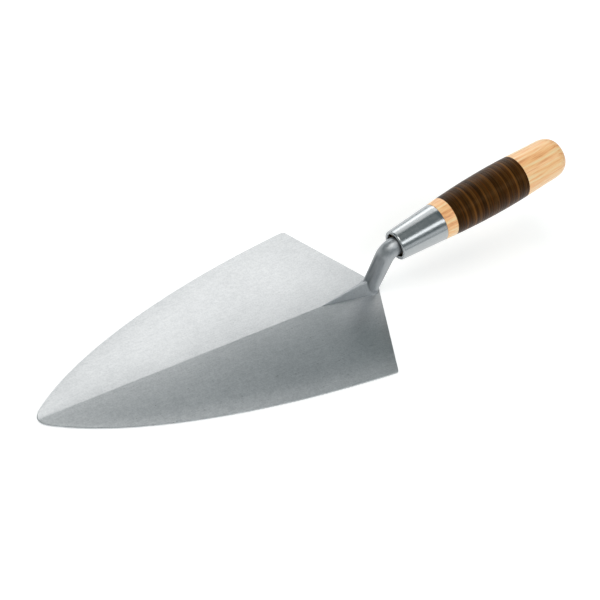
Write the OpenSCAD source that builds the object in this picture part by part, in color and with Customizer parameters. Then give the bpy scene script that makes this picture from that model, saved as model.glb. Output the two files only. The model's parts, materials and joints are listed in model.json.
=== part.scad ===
// Brick trowel: a leaf-shaped steel blade, a cranked shank with a pointed foot, a tapered ferrule,
// and a turned handle whose grip is a stack of leather rings between two pieces of wood.
//
// Frame: millimetres, +Z up, +X from the blade's tip to the butt of the handle. The blade's flat
// underside lies at z = 0, and the origin is on it, straight below the upright part of the shank.

/* [Blade] */
// Length along the ridge, from the tip to the middle of the heel
blade_length = 279.4; // [200:0.1:330]
// Width across the heel corners
blade_width = 139.7; // [110:0.1:170]
// How far the heel corners sit ahead of the middle of the heel
heel_sweep = 36.5; // [10:0.5:60]
// Thickness on the ridge, at the heel
ridge_thickness = 2.4; // [1.8:0.1:4]
// Thickness on the ridge, at the tip
tip_thickness = 1.7; // [1.5:0.1:3]
// How much thinner the heel corners are than the ridge beside them
edge_fall = 0.7; // [0.2:0.1:1]
// Fullness of the sides: higher is more pointed
side_power = 0.72; // [0.6:0.01:0.85]
// Roundness of the tip
nose = 3.9; // [1:0.1:8]
// Rounding of the heel corners
corner_round = 2; // [0.5:0.1:5]

/* [Shank] */
// Distance from the middle of the heel forward to the shank's upright axis
shank_set = 8.2; // [6:0.1:20]
// Radius of the upright where it meets the blade
shank_base_r = 6.1; // [4:0.05:7]
// Radius of the bend
shank_top_r = 6.6; // [5:0.05:8]
// Radius of the bend's centre line
bend_r = 10; // [8:0.1:12]
// Length of the foot, from the upright's axis to its point
foot_length = 45.5; // [30:0.1:70]
// Height of the foot's crest above the blade, beside the upright
foot_height = 8.5; // [5:0.1:15]
// Half the width of the foot beside the upright
foot_half_w = 6.6; // [5:0.1:9]
// How far the foot's blunt end sits ahead of the upright's axis
foot_end = 3; // [2:0.1:5]
// Radius of the blend between the upright and the blade
flare_r = 2; // [1:0.1:6]

/* [Handle line] */
// Rise of the handle's axis above the blade, in degrees
handle_slope = 16.3; // [5:0.1:30]
// Mouth of the ferrule, behind the upright's axis
mouth_x = 5.95; // [2:0.05:10]
// Mouth of the ferrule, height of its centre above the underside
mouth_z = 44; // [35:0.1:60]

/* [Ferrule] */
// Outer radius at the mouth
ferrule_mouth_r = 11.25; // [9:0.1:13]
// Outer radius at the wood
ferrule_back_r = 14; // [12:0.1:15]
// Length
ferrule_length = 37; // [25:0.5:50]
// Wall thickness at the mouth
lip_wall = 2.6; // [1:0.1:3]
// Wall thickness at the wood
ferrule_wall = 1.6; // [1:0.1:2.5]
// Depth of the open mouth before the wood starts
mouth_depth = 9; // [6:0.5:15]

/* [Grip] */
// Length of bare wood between the ferrule and the leather
collar_length = 8.7; // [4:0.1:15]
// Number of leather rings
ring_count = 28; // [10:1:40]
// Thickness of one leather ring
ring_thickness = 2.29; // [1.5:0.01:4]
// Radius at the fullest point of the grip
belly_r = 16.7; // [15:0.1:19]
// Distance of the fullest point from the ferrule's mouth
belly_at = 93; // [70:1:110]
// Bore of the leather rings
ring_bore_r = 8.5; // [7:0.1:10]

/* [Butt] */
// Length of wood behind the leather
butt_length = 39; // [20:0.1:50]
// Radius just ahead of the rounded end
butt_r = 15.2; // [12:0.1:17]
// Length of the rounding at the end
butt_round = 11; // [1:0.1:14]
// How far the rounding draws the end in
butt_draw = 6; // [1:0.1:9]

/* [Tang] */
// Distance from the ferrule's mouth at which the tang starts to taper
tang_from = 9; // [6:0.5:20]
// Distance from the ferrule's mouth to the tang's point
tang_to = 88; // [60:1:110]
// Radius of the tang's end
tang_end_r = 2.6; // [2:0.1:4]
// Length of the spindle that is let into the front block
spigot = 12; // [5:0.5:20]

/* [Hidden] */
$fn = 96;
function ring_name(i) = str("leather_ring_", i < 10 ? "0" : "", i);

half_w = blade_width / 2;
heel_x = shank_set;
corner_t = blade_length - heel_sweep;
side_steps = 44;
ridge_slope = atan((ridge_thickness - tip_thickness) / blade_length);
facet_slope = atan(edge_fall / half_w);

collar_at = ferrule_length;
leather_at = collar_at + collar_length;
butt_at = leather_at + ring_count * ring_thickness;
handle_end = butt_at + butt_length;

bend_tangent = bend_r * tan((90 - handle_slope) / 2);
bend_z = mouth_z - mouth_x * tan(handle_slope) - bend_tangent;
bend_out = bend_tangent - mouth_x / cos(handle_slope);

// Half width of the blade at a distance t behind the tip: a full leaf curve with a rounded nose.
function leaf(t) = pow(1 - pow(1 - t / (2 * blade_length), 3), side_power);
function leaf_w(t) = half_w * leaf(t) / leaf(corner_t);
function side_w(t) = sqrt(pow(leaf_w(t), 2) + 2 * nose * t * exp(-t / 4.5));
function toward(p, q, d) = p + d * (q - p) / norm(q - p);
function bezier(a, b, c, u) = (1 - u) * (1 - u) * a + 2 * u * (1 - u) * b + u * u * c;

// One side of the outline, from the tip to the middle of the heel, y positive.
corner = [heel_x - heel_sweep, half_w];
before_corner = [corner.x - corner_round, side_w(corner_t - corner_round)];
after_corner = toward(corner, [heel_x, 0], corner_round);
side = concat(
    [
        for (i = [1:side_steps])
            let (t = (corner_t - corner_round) * pow(i / side_steps, 2))
            [heel_x - blade_length + t, side_w(t)]
    ],
    [for (u = [0.2:0.2:1]) bezier(before_corner, corner, after_corner, u)]
);
outline = concat(
    [[heel_x - blade_length, 0]],
    side,
    [[heel_x, 0]],
    [for (i = [len(side) - 1:-1:0]) [side[i].x, -side[i].y]]
);

// Radius of the grip at a distance s from the ferrule's mouth.
function grip_r(s) =
    s < belly_at
    ? belly_r - (belly_r - ferrule_back_r) * pow((belly_at - s) / (belly_at - collar_at), 2)
    : butt_r + (belly_r - butt_r) * (1 + cos(180 * (s - belly_at) / (handle_end - belly_at))) / 2;

// Everything under the blade's two upper facets, which meet on the ridge.
module under_facets() {
    reach = 100;
    fall = reach * tan(facet_slope);
    translate([heel_x, 0, ridge_thickness])
        rotate([0, -ridge_slope, 0])
            translate([30, 0, 0]) rotate([90, 0, -90])
                linear_extrude(height = blade_length + 60)
                    polygon([[-reach, -fall], [-reach, -30], [reach, -30], [reach, -fall], [0, 0]]);
}

// Places children with +Z along the handle and z = 0 at the ferrule's mouth.
module on_handle() {
    translate([mouth_x, 0, mouth_z]) rotate([0, 90 - handle_slope, 0]) children();
}

// The tang with its straight start, from s = a. It is also the hole in the wood.
// It is a hair thinner than the bend, as the upright is, so that each starts or ends inside the bend.
module tang(a) {
    start_r = shank_top_r - 0.05;
    rotate_extrude()
        polygon([[0, a], [start_r, a], [start_r, tang_from], [tang_end_r, tang_to], [0, tang_to]]);
}

module blade() {
    color("lightsteelblue")
        intersection() {
            linear_extrude(height = ridge_thickness + 2) polygon(outline);
            under_facets();
        }
}

// Pointed foot: a three-sided wedge that rises to the front of the upright.
module foot() {
    rise = foot_height * (foot_length - foot_end) / (foot_length - shank_base_r);
    polyhedron(
        points = [
            [-foot_length, 0, ridge_thickness],
            [-foot_end, foot_half_w, 0],
            [-foot_end, -foot_half_w, 0],
            [-foot_end, foot_half_w, ridge_thickness],
            [-foot_end, -foot_half_w, ridge_thickness],
            [-foot_end, 0, ridge_thickness + rise],
            [-foot_length, 0, 0]
        ],
        faces = [[0, 3, 5], [0, 5, 4], [3, 1, 2, 4, 5], [0, 6, 1, 3], [0, 4, 2, 6], [6, 2, 1]]
    );
}

// Concave blend round the foot of the upright. Its rim dips a little below the blade's facets.
module flare() {
    reach = shank_base_r + flare_r;
    rise = ridge_thickness + flare_r - 0.3;
    intersection() {
        rotate_extrude()
            difference() {
                square([reach, rise]);
                translate([reach, rise]) circle(r = flare_r);
            }
        linear_extrude(height = 20) polygon(outline);
    }
}

module shank() {
    color("slategray")
        difference() {
            union() {
                cylinder(h = bend_z + 0.3, r1 = shank_base_r, r2 = shank_top_r - 0.05);
                translate([bend_r, 0, bend_z])
                    rotate([90, 0, 0])
                        rotate([0, 0, 90 + handle_slope])
                            rotate_extrude(angle = 90 - handle_slope)
                                translate([bend_r, 0]) circle(r = shank_top_r);
                on_handle() tang(bend_out - 0.3);
                foot();
                flare();
            }
            under_facets();
        }
}

// Tapered tube with a rounded lip. Its open mouth leaves a gap round the shank.
module ferrule() {
    lip = lip_wall / 2;
    color("silver")
        on_handle()
            rotate_extrude()
                union() {
                    polygon([
                        [ferrule_mouth_r, lip],
                        [ferrule_back_r, ferrule_length],
                        [ferrule_back_r - ferrule_wall, ferrule_length],
                        [ferrule_mouth_r - lip_wall, lip]
                    ]);
                    translate([ferrule_mouth_r - lip, lip]) circle(r = lip);
                }
}

// Wooden block with a tapered nose inside the ferrule and a bare collar behind it.
module front_block() {
    lip = lip_wall / 2;
    bore_r = ferrule_mouth_r - lip_wall;
    slope = (ferrule_back_r - ferrule_wall - bore_r) / (ferrule_length - lip);
    nose_r = bore_r + slope * (mouth_depth - lip);
    color("burlywood")
        on_handle()
            difference() {
                rotate_extrude()
                    polygon([
                        [0, mouth_depth],
                        [nose_r, mouth_depth],
                        [ferrule_back_r - ferrule_wall, ferrule_length],
                        [ferrule_back_r, ferrule_length],
                        [grip_r(collar_at + collar_length / 2), collar_at + collar_length / 2],
                        [grip_r(leather_at), leather_at],
                        [0, leather_at]
                    ]);
                tang(0);
                translate([0, 0, leather_at - spigot]) cylinder(h = spigot + 1, r = ring_bore_r);
            }
}

// Spindle through the leather, turned in one with the wooden butt.
module butt_block() {
    steps = 8;
    run = butt_length - butt_round;
    end_r = grip_r(handle_end - butt_round) - butt_draw;
    color("burlywood")
        on_handle()
            difference() {
                rotate_extrude()
                    polygon(concat(
                        [[0, leather_at - spigot], [ring_bore_r, leather_at - spigot], [ring_bore_r, butt_at]],
                        [for (i = [0:steps]) let (s = butt_at + run * i / steps) [grip_r(s), s]],
                        [
                            for (a = [15:15:90])
                                [end_r + butt_draw * cos(a), handle_end - butt_round * (1 - sin(a))]
                        ],
                        [[0, handle_end]]
                    ));
                tang(0);
            }
}

// One leather ring, numbered from the front.
module leather_ring(i) {
    from = leather_at + (i - 1) * ring_thickness;
    to = from + ring_thickness;
    color(["saddlebrown", "sienna", "chocolate"][i % 3])
        on_handle()
            rotate_extrude()
                polygon([[ring_bore_r, from], [grip_r(from), from], [grip_r(to), to], [ring_bore_r, to]]);
}

blade();
shank();
ferrule();
front_block();
butt_block();
for (i = [1:ring_count]) {
    leather_ring(i);
}
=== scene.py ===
"""Brick trowel: the looks. Metres in the CAD frame: +X from the blade's tip to the butt, +Z up,
the blade's underside at z = 0, the origin under the upright part of the shank."""

import json
import math
import random

import bmesh
import bpy
from mathutils import Matrix, Vector


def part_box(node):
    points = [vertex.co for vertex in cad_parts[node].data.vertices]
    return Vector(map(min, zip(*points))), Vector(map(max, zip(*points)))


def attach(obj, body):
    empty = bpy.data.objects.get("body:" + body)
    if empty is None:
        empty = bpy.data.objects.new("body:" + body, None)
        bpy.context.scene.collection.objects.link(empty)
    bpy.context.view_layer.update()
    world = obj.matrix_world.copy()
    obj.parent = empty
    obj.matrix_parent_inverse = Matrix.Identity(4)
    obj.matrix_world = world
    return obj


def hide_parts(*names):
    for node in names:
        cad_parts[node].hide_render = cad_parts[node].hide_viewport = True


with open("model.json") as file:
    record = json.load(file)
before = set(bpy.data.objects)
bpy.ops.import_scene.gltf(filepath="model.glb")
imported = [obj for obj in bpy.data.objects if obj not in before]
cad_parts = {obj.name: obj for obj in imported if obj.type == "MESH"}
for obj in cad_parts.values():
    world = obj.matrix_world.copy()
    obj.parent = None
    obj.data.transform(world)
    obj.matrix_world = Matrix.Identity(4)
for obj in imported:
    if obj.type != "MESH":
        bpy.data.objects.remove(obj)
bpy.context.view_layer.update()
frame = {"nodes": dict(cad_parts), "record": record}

MM = 0.001
RINGS = sorted(n for n in frame["nodes"] if n.startswith("leather_ring_"))
SLOT = {s["node"]: s["material_slot"] for s in frame["record"]["subparts"]}

# ---------------------------------------------------------------- blade sizes, in millimetres
blade_lo, blade_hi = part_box("blade")
TIP_X, HEEL_X = blade_lo.x / MM, blade_hi.x / MM
LENGTH = HEEL_X - TIP_X
HALF_W = 69.83  # a hair less than the CAD's, so that the rounded corners stay inside it
SWEEP = 36.5  # how far the heel's corners lie ahead of its middle
CORNER = 2.0  # rounding of those corners
SIDE_POWER = 0.72  # fullness of the sides
NOSE_R, NOSE_REACH = 3.9, 4.5  # the tip's radius, and how soon it fades into the sides
RIDGE = 2.4  # thickness on the ridge at the heel
FALL = 0.7  # thickness lost from the heel to the tip, and from the ridge to the edge
EASE = 0.35  # width of the eased rim
LEAN_RIDGE, LEAN_MID = 2.0, 3.8  # lean of the shading normals, in degrees

# ---------------------------------------------------------------- shank sizes, in millimetres
# The radii are a little full, because the softening of the forging takes some back.
SHANK_BASE_R, SHANK_TOP_R, BEND_R = 6.17, 6.67, 10.0
FOOT_LENGTH, FOOT_END, FOOT_HALF_W, FOOT_RISE = 45.3, 3.0, 6.6, 9.12
FOOT_TIP_W, FOOT_TIP_H = 0.15, 0.12
FLARE_R, FLARE_H = 1.9, 2.4

# ---------------------------------------------------------------- handle sizes, in millimetres
# Distances run along the handle from the ferrule's mouth.
FERRULE_L, MOUTH_R, BACK_R = 37.0, 11.25, 14.0
LIP_WALL, WALL = 2.6, 1.6
NOSE_AT = 9.0  # where the wood begins inside the ferrule
LEATHER_AT = 45.7
BORE_R, SPIGOT = 8.5, 12.0
BELLY_AT, BELLY_R = 93.0, 16.7
BUTT_L, BUTT_R = 38.95, 15.2
BUTT_ROUND, BUTT_DRAW = 11.0, 6.0  # length and depth of the butt's shoulder


def centre(node):
    lo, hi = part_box(node)
    return (lo + hi) / 2


first, last = centre(RINGS[0]), centre(RINGS[-1])
AXIS = (last - first).normalized()
SLOPE = math.atan2(AXIS.z, AXIS.x)
RING = (last - first).length / (len(RINGS) - 1) / MM
BUTT_AT = LEATHER_AT + len(RINGS) * RING
END_AT = BUTT_AT + BUTT_L
MOUTH = first - AXIS * (LEATHER_AT + RING / 2) * MM

# The handle's own frame: Z along the handle, Y across, origin at the ferrule's mouth.
across = Vector((0, 1, 0))
turned_to_grip = Matrix((across.cross(AXIS), across, AXIS)).transposed().to_4x4()
HANDLE = Matrix.Translation(MOUTH) @ turned_to_grip


def grip_r(s):
    """Radius of the wood and leather at s along the handle: a belly that eases both ways."""
    if s < BELLY_AT:
        return BELLY_R - (BELLY_R - BACK_R) * ((BELLY_AT - s) / (BELLY_AT - FERRULE_L)) ** 2
    turn = math.pi * (s - BELLY_AT) / (END_AT - BELLY_AT)
    return BUTT_R + (BELLY_R - BUTT_R) * (1 + math.cos(turn)) / 2


# ---------------------------------------------------------------- materials
class Tree:
    """A material built one node at a time round its Principled shader."""

    def __init__(self, name, **fixed):
        self.mat = bpy.data.materials.new(name)
        self.mat.use_nodes = True
        self.nt = self.mat.node_tree
        self.bsdf = self.nt.nodes["Principled BSDF"]
        for key, value in fixed.items():
            self.bsdf.inputs[key.replace("_", " ")].default_value = value

    def feed(self, node, inputs):
        """Links sockets to a node's inputs, and sets plain values on them."""
        for key, value in inputs.items():
            if isinstance(value, bpy.types.NodeSocket):
                self.nt.links.new(value, node.inputs[key])
            else:
                node.inputs[key].default_value = value

    def add(self, kind, _out=0, _in=None, **props):
        node = self.nt.nodes.new("ShaderNode" + kind)
        for key, value in props.items():
            setattr(node, key, value)
        self.feed(node, _in or {})
        return node.outputs[_out]

    def place(self, scale=(1, 1, 1), turn=(0, 0, 0)):
        """The object's own coordinates, turned and scaled."""
        here = self.add("TexCoord", "Object")
        return self.add("Mapping", _in={"Vector": here, "Scale": scale, "Rotation": turn})

    def along(self, scale=(1, 1, 1)):
        """Coordinates in the handle's frame, Z along the handle, scaled."""
        here = self.add("TexCoord", "Object")
        frame_in = {"Vector": here, "Location": MOUTH, "Rotation": HANDLE.to_euler()}
        turned = self.add("Mapping", vector_type="TEXTURE", _in=frame_in)
        return self.add("VectorMath", operation="MULTIPLY", _in={0: turned, 1: scale})

    def noise(self, at, scale=1.0, detail=3, rough=0.6):
        settings = {"Vector": at, "Scale": scale, "Detail": detail, "Roughness": rough}
        return self.add("TexNoise", "Fac", _in=settings)

    def attribute(self, name):
        return self.add("Attribute", "Fac", attribute_name=name)

    def math(self, op, a, b=0.0):
        return self.add("Math", operation=op, _in={0: a, 1: b})

    def span(self, value, lo, hi, a, b):
        """value from lo..hi mapped to a..b and held there."""
        limits = {"From Min": lo, "From Max": hi, "To Min": a, "To Max": b}
        return self.add("MapRange", _in={"Value": value, **limits})

    def total(self, *spans):
        """The sum of several spans."""
        result = self.span(*spans[0])
        for one in spans[1:]:
            result = self.math("ADD", result, self.span(*one))
        return result

    def ramp(self, value, *stops):
        node = self.nt.nodes.new("ShaderNodeValToRGB")
        self.nt.links.new(value, node.inputs[0])
        while len(node.color_ramp.elements) < len(stops):
            node.color_ramp.elements.new(0.5)
        for element, (where, colour) in zip(node.color_ramp.elements, stops):
            element.position = where
            element.color = (*colour, 1)
        return node.outputs[0]

    def stain(self, fac, under, colour):
        """A colour socket, stained with one colour by fac."""
        node = self.nt.nodes.new("ShaderNodeMix")
        node.data_type = "RGBA"
        self.feed(node, {0: fac, 6: under, 7: (*colour, 1)})
        return node.outputs[2]

    def bump(self, height, microns, strength=1.0, under=None):
        links = {"Height": height, "Distance": microns * MM / 1000, "Strength": strength}
        if under is not None:
            links["Normal"] = under
        return self.add("Bump", _in=links)

    def finish(self, colour=None, rough=None, normal=None):
        for key, value in (("Base Color", colour), ("Roughness", rough), ("Normal", normal)):
            if value is not None:
                self.nt.links.new(value, self.bsdf.inputs[key])
        return self.mat


def blade_steel():
    """Satin ground steel: a fine speckle, grinding lines mirrored about the ridge, faint smears."""
    t = Tree("blade_steel", Metallic=1.0)
    here = t.place()
    speck = t.noise(here, 900)
    coarse = t.noise(t.place((260, 520, 260)))
    smear = t.noise(here, 14, 3, 0.5)
    near_lines = t.noise(t.place((70, 1500, 70), (0, 0, 0.5)))
    far_lines = t.noise(t.place((70, 1500, 70), (0, 0, -0.5)))
    y = t.add("SeparateXYZ", "Y", _in={"Vector": here})
    far = t.span(y, -0.0002, 0.0002, 0.0, 1.0)
    grind = t.add("Mix", 0, data_type="FLOAT", _in={0: far, 2: near_lines, 3: far_lines})
    tone = t.total(
        (speck, 0.35, 0.65, -0.13, 0.13),
        (coarse, 0.35, 0.65, -0.07, 0.07),
        (grind, 0.3, 0.7, -0.08, 0.08),
        (smear, 0.3, 0.7, 0.40, 0.60),
    )
    colour = t.ramp(tone, (0.0, (0.42, 0.435, 0.45)), (1.0, (0.80, 0.81, 0.82)))
    worn = t.math("ADD", speck, t.math("MULTIPLY", grind, 0.6))
    rough = t.span(worn, 0.5, 1.1, 0.27, 0.36)
    normal = t.bump(speck, 30, 0.45)
    normal = t.bump(grind, 20, 0.35, normal)
    return t.finish(colour, rough, normal)


def shank_steel():
    """Forged and brushed steel: lines down the bar and darker patches."""
    t = Tree("shank_steel", Metallic=1.0)
    here = t.place()
    speck = t.noise(here, 900)
    draw = t.noise(t.place((1300, 1300, 60)))
    patch = t.noise(here, 60, 3, 0.5)
    tone = t.total(
        (speck, 0.3, 0.7, -0.08, 0.08),
        (draw, 0.3, 0.7, -0.14, 0.14),
        (patch, 0.3, 0.7, 0.40, 0.60),
    )
    colour = t.ramp(tone, (0.0, (0.22, 0.233, 0.245)), (1.0, (0.53, 0.55, 0.57)))
    rough = t.span(t.math("ADD", draw, speck), 0.7, 1.3, 0.38, 0.52)
    normal = t.bump(draw, 40, 0.5)
    normal = t.bump(speck, 30, 0.35, normal)
    return t.finish(colour, rough, normal)


def ferrule_steel():
    """Turned and polished steel: fine rings round the axis and a few light scuffs."""
    t = Tree("ferrule_steel", Metallic=1.0)
    turned = t.noise(t.along((8, 8, 2600)))
    wide = t.noise(t.along((6, 6, 420)), 1.0, 2, 0.5)
    scuff = t.noise(t.along(), 160, 4)
    tone = t.total((turned, 0.3, 0.7, -0.06, 0.06), (wide, 0.3, 0.7, 0.44, 0.56))
    colour = t.ramp(tone, (0.0, (0.35, 0.365, 0.375)), (1.0, (0.49, 0.51, 0.52)))
    rough = t.span(t.math("ADD", turned, scuff), 0.7, 1.3, 0.19, 0.27)
    return t.finish(colour, rough, t.bump(turned, 4, 0.4))


def wood():
    """Pale hardwood cut lengthwise: wandering darker streaks, fine pores, a satin lacquer."""
    t = Tree("wood", Coat_Weight=0.5, Coat_Roughness=0.22, Specular_IOR_Level=0.35)
    warp = t.noise(t.along((30, 30, 9)), 1.0, 2, 0.5)
    shift = {"X": t.math("MULTIPLY", warp, 0.010), "Y": t.math("MULTIPLY", warp, 0.006)}
    drift = t.add("CombineXYZ", _in=shift)
    bent = t.add("VectorMath", operation="ADD", _in={0: t.along((1, 1, 0.06)), 1: drift})
    bands = t.noise(bent, 430)
    wide = t.noise(bent, 120, 2, 0.5)
    fine = t.noise(bent, 1500, 2)
    pores = t.noise(t.along((2300, 2300, 70)))
    tone = t.total(
        (bands, 0.35, 0.65, 0.0, 0.45),
        (wide, 0.38, 0.62, 0.0, 0.35),
        (fine, 0.35, 0.65, 0.0, 0.2),
    )
    colour = t.ramp(
        tone,
        (0.10, (0.72, 0.31, 0.12)),
        (0.30, (0.93, 0.46, 0.19)),
        (0.52, (1.00, 0.60, 0.28)),
        (0.85, (1.00, 0.77, 0.44)),
    )
    colour = t.stain(t.span(pores, 0.56, 0.74, 0.0, 0.4), colour, (0.62, 0.30, 0.13))
    rough = t.span(pores, 0.35, 0.7, 0.38, 0.52)
    normal = t.bump(pores, 40, 0.35)
    normal = t.bump(bands, 60, 0.25, normal)
    return t.finish(colour, rough, normal)


def leather(name, dark, light):
    """Stacked leather seen on its cut edge: fine bands inside each ring, waxed and rubbed."""
    t = Tree(name, Specular_IOR_Level=0.16, Specular_Tint=(1.0, 0.62, 0.28, 1))
    fibres = t.noise(t.along((60, 60, 2100)))
    layers = t.noise(t.along((14, 14, 980)), 1.0, 2, 0.5)
    grain = t.noise(t.along(), 900)
    patch = t.noise(t.along((90, 90, 160)), 1.0, 3, 0.5)
    tone = t.total(
        (fibres, 0.35, 0.65, -0.20, 0.20),
        (layers, 0.40, 0.60, -0.26, 0.26),
        (patch, 0.3, 0.7, -0.12, 0.12),
    )
    tone = t.math("ADD", tone, t.attribute("ring_tone"))
    colour = t.ramp(tone, (0.0, dark), (1.0, light))
    groove = t.span(t.attribute("ring_seam"), 0.0, 1.0, 0.0, 0.75)
    colour = t.stain(groove, colour, tuple(c * 0.35 for c in dark))
    rough = t.span(t.math("ADD", fibres, grain), 0.7, 1.3, 0.30, 0.42)
    normal = t.bump(fibres, 50, 0.4)
    normal = t.bump(grain, 40, 0.3, normal)
    return t.finish(colour, rough, normal)


MATERIALS = {
    "blade_steel": blade_steel(),
    "shank_steel": shank_steel(),
    "ferrule_steel": ferrule_steel(),
    "wood": wood(),
    "leather_dark": leather("leather_dark", (0.018, 0.006, 0.0008), (0.072, 0.023, 0.003)),
    "leather_mid": leather("leather_mid", (0.023, 0.008, 0.001), (0.092, 0.036, 0.007)),
    "leather_warm": leather("leather_warm", (0.030, 0.010, 0.0014), (0.135, 0.052, 0.010)),
}


# ---------------------------------------------------------------- mesh tools
def link(name, data):
    obj = bpy.data.objects.new(name, data)
    bpy.context.scene.collection.objects.link(obj)
    return obj


def piece(name, mesh, nodes, place=None, sharp=30):
    """Puts a finished mesh in the scene in place of CAD nodes."""
    if place is not None:
        mesh.transform(place)
    obj = link(name, mesh)
    for polygon in mesh.polygons:
        polygon.use_smooth = True
    if sharp:
        mesh.set_sharp_from_angle(angle=math.radians(sharp))
    slot = SLOT[nodes[0]]
    mesh.materials.append(MATERIALS[slot])
    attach(obj, "root")
    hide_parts(*nodes)
    return obj


def solid(name, bm):
    """A mesh from a bmesh, with its faces turned outwards."""
    bmesh.ops.recalc_face_normals(bm, faces=bm.faces)
    mesh = bpy.data.meshes.new(name)
    bm.to_mesh(mesh)
    bm.free()
    return mesh


def face(bm, *corners):
    """A face, leaving out corners that are the same vertex."""
    corners = list(dict.fromkeys(corners))
    if len(corners) > 2:
        bm.faces.new(corners)


def skin(bm, rings):
    """Faces between each ring of vertices and the next."""
    for a, b in zip(rings, rings[1:]):
        for k in range(len(a)):
            n = (k + 1) % len(a)
            face(bm, a[k], a[n], b[n], b[k])


def capped(bm, rings):
    """A closed form through rings of vertices."""
    skin(bm, rings)
    bm.faces.new(rings[0][::-1])
    bm.faces.new(rings[-1])


def lathe(name, profile, segments=128, closed=False):
    """A mesh turned round Z from (distance, radius) points; a radius of 0 is a single point."""
    bm = bmesh.new()
    rings = []
    for s, r in profile:
        if r < 1e-6:
            rings.append([bm.verts.new((0, 0, s * MM))] * segments)
            continue
        turns = [2 * math.pi * k / segments for k in range(segments)]
        ring = [(r * math.cos(a) * MM, r * math.sin(a) * MM, s * MM) for a in turns]
        rings.append([bm.verts.new(co) for co in ring])
    skin(bm, rings + rings[:1] if closed else rings)
    return solid(name, bm)


def arc(cs, cr, r, a0, a1, steps):
    """Points of an arc in (distance, radius), angles in degrees from the +distance direction."""
    turns = [math.radians(a0 + (a1 - a0) * k / steps) for k in range(steps + 1)]
    return [(cs + r * math.cos(a), cr + r * math.sin(a)) for a in turns]


def ease_in(lo, hi, value):
    """0 below lo, 1 above hi, and a smooth rise between them."""
    f = min(max((value - lo) / (hi - lo), 0), 1)
    return f * f * (3 - 2 * f)


# ---------------------------------------------------------------- blade
def half_width(t):
    """Half the blade's width at t from the tip: a leaf with a small round nose."""

    def leaf(u):
        return (1 - (1 - u / (2 * LENGTH)) ** 3) ** SIDE_POWER

    sides = HALF_W * leaf(t) / leaf(LENGTH - SWEEP)
    return math.sqrt(sides**2 + 2 * NOSE_R * t * math.exp(-t / NOSE_REACH))


def outline():
    """One side of the blade's edge, from the tip to the middle of the heel, y positive."""
    run = LENGTH - SWEEP - CORNER
    stops = [run * (i / 80) ** 2 for i in range(81)]
    points = [Vector((TIP_X + t, half_width(t))) for t in stops]
    corner, heel = Vector((HEEL_X - SWEEP, HALF_W)), Vector((HEEL_X, 0))
    start, end = points[-1], corner + CORNER * (heel - corner).normalized()
    for u in (k / 8 for k in range(1, 9)):
        points.append((1 - u) ** 2 * start + 2 * u * (1 - u) * corner + u * u * end)
    return points + [end.lerp(heel, k / 24) for k in range(1, 25)]


def top_z(x, y):
    """Height of the upper facets, which meet on a ridge that falls towards the tip."""
    return RIDGE - FALL * (HEEL_X - x) / LENGTH - FALL * abs(y) / HALF_W


def blade_mesh(cols=18):
    """Two facets above, flat below, and an eased rim all round."""
    edge = outline()
    end = len(edge) - 1
    bm = bmesh.new()

    def vert(x, y, z):
        return bm.verts.new((x * MM, y * MM, z * MM))

    def outward(i):
        if i in (0, end):
            return Vector((1 if i else -1, 0))
        run = (edge[i + 1] - edge[i - 1]).normalized()
        return Vector((-run.y, run.x))

    def rim(x, y):
        return [vert(x, y, top_z(x, y) - EASE), vert(x, y, EASE)]

    sides = {}
    for i, p in enumerate(edge):
        inset = p - EASE * outward(i)
        above, below = vert(inset.x, 0, top_z(inset.x, 0)), vert(inset.x, 0, 0)
        if i in (0, end):
            sides[i, 1] = sides[i, -1] = [above] * (cols + 1), [below] * (cols + 1), rim(p.x, 0)
            continue
        for sgn in (1, -1):
            ys = [sgn * inset.y * j / cols for j in range(1, cols + 1)]
            top = [above] + [vert(inset.x, y, top_z(inset.x, y)) for y in ys]
            low = [below] + [vert(inset.x, y, 0) for y in ys]
            sides[i, sgn] = top, low, rim(p.x, sgn * p.y)

    for i in range(end):
        for sgn in (1, -1):
            (ta, la, ra), (tb, lb, rb) = sides[i, sgn], sides[i + 1, sgn]
            for j in range(cols):
                face(bm, ta[j], tb[j], tb[j + 1], ta[j + 1])
                face(bm, la[j], la[j + 1], lb[j + 1], lb[j])
            face(bm, ta[cols], tb[cols], rb[0], ra[0])
            face(bm, ra[0], rb[0], rb[1], ra[1])
            face(bm, ra[1], rb[1], lb[cols], la[cols])
    return solid("blade", bm)


def facet_lean(x, y, far):
    """How far, in degrees, a facet's shading normal leans outwards from the ridge."""
    u = min(abs(y) / max(half_width(min(x - TIP_X, LENGTH - SWEEP)), 1), 1)
    lean = LEAN_RIDGE + (LEAN_MID - LEAN_RIDGE) * math.sin(math.pi * min(u / 1.15, 1))
    if far:
        return lean * (1 - 0.2 * ease_in(0.68, 1.0, u))
    from_tip = min(max((x - TIP_X) / LENGTH, 0), 1)
    return lean * (1 - 1.15 * ease_in(0.68, 1.0, u)) * (0.1 + 0.9 * from_tip**0.6)


def make_blade():
    mesh = blade_mesh()
    piece("blade_forged", mesh, ["blade"], sharp=20)

    # The facets are flat. Only their shading normals lean, as if they were ground a little hollow.
    custom = []
    flat = [p.normal.copy() for p in mesh.polygons]
    for polygon, normal in zip(mesh.polygons, flat):
        far = polygon.center.y > 0
        for k in polygon.loop_indices:
            if normal.z <= 0.9:
                custom.append(normal)
                continue
            co = mesh.vertices[mesh.loops[k].vertex_index].co / MM
            lean = math.radians(facet_lean(co.x, co.y, far))
            custom.append(Vector((0, math.sin(lean) if far else -math.sin(lean), math.cos(lean))))
    mesh.normals_split_custom_set(custom)


# ---------------------------------------------------------------- shank
def tube(bm, stations, segments=40):
    """A closed round bar through (centre, direction, radius) stations."""
    rings = []
    turns = [2 * math.pi * k / segments for k in range(segments)]
    for c, d, r in stations:
        up = across.cross(d.normalized())
        ring = [c + r * (math.cos(a) * up + math.sin(a) * across) for a in turns]
        rings.append([bm.verts.new(co * MM) for co in ring])
    capped(bm, rings)


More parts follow.
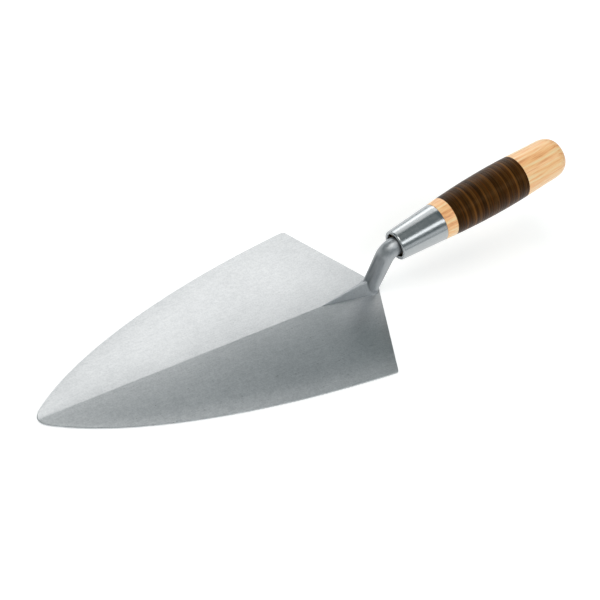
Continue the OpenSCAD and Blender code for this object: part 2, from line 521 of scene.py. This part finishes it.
def add_bar(bm):
    """The upright, the bend and the tang that tapers inside the handle."""
    mouth = MOUTH / MM
    bend_z = mouth.z - mouth.x * math.tan(SLOPE) - BEND_R * math.tan((math.pi / 2 - SLOPE) / 2)
    stations = []
    for z in (1.2, 4, 8, 14, 20, 26):
        r = SHANK_BASE_R + (SHANK_TOP_R - SHANK_BASE_R) * z / bend_z
        stations.append((Vector((0, 0, z)), Vector((0, 0, 1)), r))
    steps = 12
    for k in range(steps + 1):
        a = math.pi - (math.pi / 2 - SLOPE) * k / steps
        c = Vector((BEND_R + BEND_R * math.cos(a), 0, bend_z + BEND_R * math.sin(a)))
        stations.append((c, Vector((math.sin(a), 0, -math.cos(a))), SHANK_TOP_R))
    for s, r in ((NOSE_AT, SHANK_TOP_R - 0.1), (30, 5.6), (60, 4.1), (87.5, 2.7)):
        stations.append((mouth + AXIS * s, AXIS, r))
    tube(bm, stations)


def add_foot(bm, steps=8, crest=0.10, low=1.0):
    """A pointed wedge whose blunt end stands a little proud of the upright. Its crest is flat on
    top, with crest as its share of the width, and its sides reach down to low in the blade."""
    rings = []
    for k in range(steps + 1):
        f = k / steps
        x = -FOOT_LENGTH + (FOOT_LENGTH - FOOT_END) * f
        w = FOOT_TIP_W + (FOOT_HALF_W - FOOT_TIP_W) * f
        peak = RIDGE + FOOT_TIP_H + (FOOT_RISE - FOOT_TIP_H) * f
        half = [(w, low), (w, RIDGE - 0.15), (crest * w, peak)]
        ring = half + [(-y, z) for y, z in reversed(half)]
        rings.append([bm.verts.new(Vector((x, y, z)) * MM) for y, z in ring])
    capped(bm, rings)


def add_flare(bm, steps=6):
    """The hollow blend from the upright into the blade."""
    up = Vector((0, 0, 1))
    stations = [(Vector((0, 0, 1.2)), up, SHANK_BASE_R + 1.8)]
    for k in range(steps + 1):
        a = math.radians(90 * k / steps)
        z = RIDGE - 0.2 + FLARE_H * (1 - math.cos(a))
        stations.append((Vector((0, 0, z)), up, SHANK_BASE_R - 0.1 + FLARE_R * (1 - math.sin(a))))
    tube(bm, stations)


def forged(mesh):
    """The parts in a mesh fused into one skin and softened a little."""
    raw = link("shank_raw", mesh)
    fuse = raw.modifiers.new("fuse", "REMESH")
    fuse.mode, fuse.voxel_size, fuse.adaptivity = "VOXEL", 0.42 * MM, 0.0
    soft = raw.modifiers.new("soft", "SMOOTH")
    soft.factor, soft.iterations = 0.5, 3
    done = bpy.data.meshes.new_from_object(raw.evaluated_get(bpy.context.evaluated_depsgraph_get()))
    bpy.data.objects.remove(raw)
    done.name = "shank"
    return done


def trim_at_heel(mesh, below=8, margin=0.05):
    """Moves what reaches past the blade's two heel edges back on to them."""
    size = math.hypot(HALF_W, SWEEP)
    nx, ny = HALF_W / size, SWEEP / size
    for v in mesh.vertices:
        x, y, z = v.co / MM
        over = (x - HEEL_X) * nx + abs(y) * ny + margin
        if z < below and over > 0:
            v.co.x -= over * nx * MM
            v.co.y -= math.copysign(over * ny, y) * MM


def make_shank():
    bm = bmesh.new()
    add_bar(bm)
    add_foot(bm)
    add_flare(bm)
    mesh = forged(solid("shank_parts", bm))
    trim_at_heel(mesh)
    piece("shank_forged", mesh, ["shank"], sharp=0)


# ---------------------------------------------------------------- handle
def bore_r(at):
    """Inner radius of the ferrule: thick at the lip, thin at the wood."""
    lip = LIP_WALL / 2
    mouth, back = MOUTH_R - LIP_WALL, BACK_R - WALL
    return mouth + (back - mouth) * (at - lip) / (FERRULE_L - lip)


def make_ferrule():
    lip = LIP_WALL / 2
    inner = [(at, bore_r(at)) for at in (FERRULE_L, 20, NOSE_AT)]
    rim = arc(lip, MOUTH_R - lip, lip, 270, 90, 18)
    run, rise = FERRULE_L - 0.35 - lip, BACK_R - MOUTH_R
    outer = [(lip + run * k / 12, MOUTH_R + rise * k / 12) for k in range(1, 13)]
    back = [(FERRULE_L - 0.1, BACK_R - 0.12), (FERRULE_L, BACK_R - 0.35)]
    mesh = lathe("ferrule", inner + rim + outer + back, 160, closed=True)
    piece("ferrule_turned", mesh, ["ferrule"], HANDLE, 40)


def make_front_block():
    nose_r = bore_r(NOSE_AT)
    nose = [(NOSE_AT, 6.65), (NOSE_AT, nose_r - 0.4), (NOSE_AT + 0.4, nose_r)]
    step = [(FERRULE_L, BACK_R - WALL), (FERRULE_L, BACK_R - 0.25)]
    stops = [FERRULE_L + 0.25 + (LEATHER_AT - FERRULE_L - 0.4) * k / 6 for k in range(7)]
    collar = [(s, grip_r(s)) for s in stops]
    back = [(LEATHER_AT, grip_r(LEATHER_AT) - 0.12), (LEATHER_AT, BORE_R)]
    mesh = lathe("front_block", nose + step + collar + back, closed=True)
    piece("collar_block", mesh, ["front_block"], HANDLE)


def make_butt():
    spindle = [(LEATHER_AT - SPIGOT, 0), (LEATHER_AT - SPIGOT, BORE_R), (BUTT_AT, BORE_R)]
    front = [(BUTT_AT, grip_r(BUTT_AT) - 0.12)]
    start, shoulder = BUTT_AT + 0.15, END_AT - BUTT_ROUND
    stops = [start + (shoulder - start) * k / 14 for k in range(15)]
    sides = [(s, grip_r(s)) for s in stops]
    flat_r = grip_r(shoulder) - BUTT_DRAW
    turns = [math.radians(90 * k / 14) for k in range(1, 15)]
    round_off = [
        (END_AT - BUTT_ROUND * (1 - math.sin(a)), flat_r + BUTT_DRAW * math.cos(a)) for a in turns
    ]
    disc = [(END_AT, flat_r * f) for f in (0.8, 0.5, 0.2, 0)]
    mesh = lathe("butt_block", spindle + front + sides + round_off + disc)
    piece("butt_block_turned", mesh, ["butt_block"], HANDLE)


def make_rings(segments=96, deepest=0.10):
    """One turned washer per leather ring, each a shade of its own, with eased edges."""
    fractions = (0.0, 0.04, 0.12, 0.35, 0.65, 0.88, 0.96, 1.0)
    sinks = (deepest, 0.035, 0.0, 0.0, 0.0, 0.0, 0.035, deepest)
    seams = [0.0, *(sink / deepest for sink in sinks), 0.0]
    rng = random.Random(7)
    for i, node in enumerate(RINGS):
        at = LEATHER_AT + i * RING
        lift = rng.uniform(-0.05, 0.0)
        level = rng.uniform(0.10, 0.80)
        stops = [at + RING * f for f in fractions]
        rim = [(s, grip_r(s) + lift - sink) for s, sink in zip(stops, sinks)]
        profile = [(at, BORE_R), *rim, (at + RING, BORE_R)]
        mesh = lathe(node, profile, segments, closed=True)
        tone = mesh.attributes.new("ring_tone", "FLOAT", "POINT")
        seam = mesh.attributes.new("ring_seam", "FLOAT", "POINT")
        tone.data.foreach_set("value", [level] * len(mesh.vertices))
        seam.data.foreach_set("value", [seams[k // segments] for k in range(len(mesh.vertices))])
        piece(node.replace("leather", "cut"), mesh, [node], HANDLE, 50)


# ---------------------------------------------------------------- stage
def make_floor(size=20.0, z=-0.0002):
    t = Tree("floor_pale", Roughness=0.9, Specular_IOR_Level=0.0)
    t.bsdf.inputs["Emission Color"].default_value = (1, 1, 1, 1)
    t.bsdf.inputs["Emission Strength"].default_value = 0.35
    tone = t.noise(t.place(), 0.8, 2, 0.5)
    t.finish(t.ramp(tone, (0.0, (0.88, 0.88, 0.88)), (1.0, (0.92, 0.92, 0.92))))

    mesh = bpy.data.meshes.new("floor")
    bm = bmesh.new()
    bmesh.ops.create_grid(bm, x_segments=8, y_segments=8, size=size)
    bmesh.ops.translate(bm, verts=bm.verts, vec=(0, 0, z))
    bm.to_mesh(mesh)
    bm.free()
    mesh.materials.append(t.mat)
    floor = link("floor", mesh)


def make_sky():
    world = bpy.data.worlds.new("studio")
    bpy.context.scene.world = world
    world.use_nodes = True
    sky = world.node_tree.nodes["Background"]
    sky.inputs["Color"].default_value = (0.78, 0.96, 1.0, 1)
    sky.inputs["Strength"].default_value = 0.20


def softbox(name, place, facing, width, height, radiance, colour=(1, 1, 1)):
    """A soft panel light; its width is level, and its height stands square to where it faces."""
    data = bpy.data.lights.new(name, "AREA")
    data.shape, data.size, data.size_y = "RECTANGLE", width, height
    data.energy = radiance * math.pi * width * height
    data.color = colour
    obj = link(name, data)
    obj.location = place
    obj.rotation_mode = "QUATERNION"
    obj.rotation_quaternion = Vector(facing).to_track_quat("-Z", "Y")
    obj.visible_camera = False


def make_lights():
    grip = centre(RINGS[len(RINGS) // 2])
    blade = Vector((-0.12, 0, 0))
    # Near side, above: the long highlight down the handle.
    way = Vector((0.0, -0.59, 0.807))
    softbox("key", grip + 1.3 * way + Vector((0.1, 0, 0)), -way, 2.2, 0.36, 2.3)
    # Near side, low: fills the underside of the handle and the shank.
    softbox("front", grip + Vector((0.6, -1.5, 0.38)), (0, 1, -0.1), 2.2, 0.55, 0.7)
    # Far side, behind the heel: lights the far facet, and stops short of what the near one mirrors.
    way, warm = Vector((0.97, 1.226, 1.029)), (1.0, 0.975, 0.955)
    softbox("far", blade + way, (0, -0.766, -0.643), 1.5, 1.184, 1.33, warm)
    # Far side, low down: the thin bright line along the top of the handle.
    softbox("rim", grip + Vector((0.35, 1.5, 0.47)), (0, -1, -0.2), 1.6, 0.67, 1.5)
    # High over the tip's side: a broad fill that no polished part mirrors towards the camera.
    way, warm = Vector((-0.50, 0.05, 0.86)), (1.0, 0.97, 0.93)
    softbox("fill", grip + 2.0 * way, -way, 1.1, 1.2, 4.0, warm)


def make_camera():
    """Looks down the tool from over the near side of the tip, rolled so that the handle rises."""
    data = bpy.data.cameras.new("camera")
    data.sensor_width, data.lens = 36, 84.5
    data.clip_start, data.clip_end = 0.01, 50
    cam = link("camera", data)
    cam.location = (-0.6066, -0.3925, 0.7091)
    look = Vector((0.56003, 0.41077, -0.71947))
    roll = Matrix.Rotation(math.radians(23.14), 4, "Z").to_quaternion()
    cam.rotation_mode = "QUATERNION"
    cam.rotation_quaternion = look.to_track_quat("-Z", "Y") @ roll
    bpy.context.scene.camera = cam


make_blade()
make_shank()
make_ferrule()
make_front_block()
make_butt()
make_rings()
make_floor()
make_sky()
make_lights()
make_camera()
bpy.context.scene.view_settings.view_transform = "Standard"
bpy.context.scene.view_settings.look = "None"
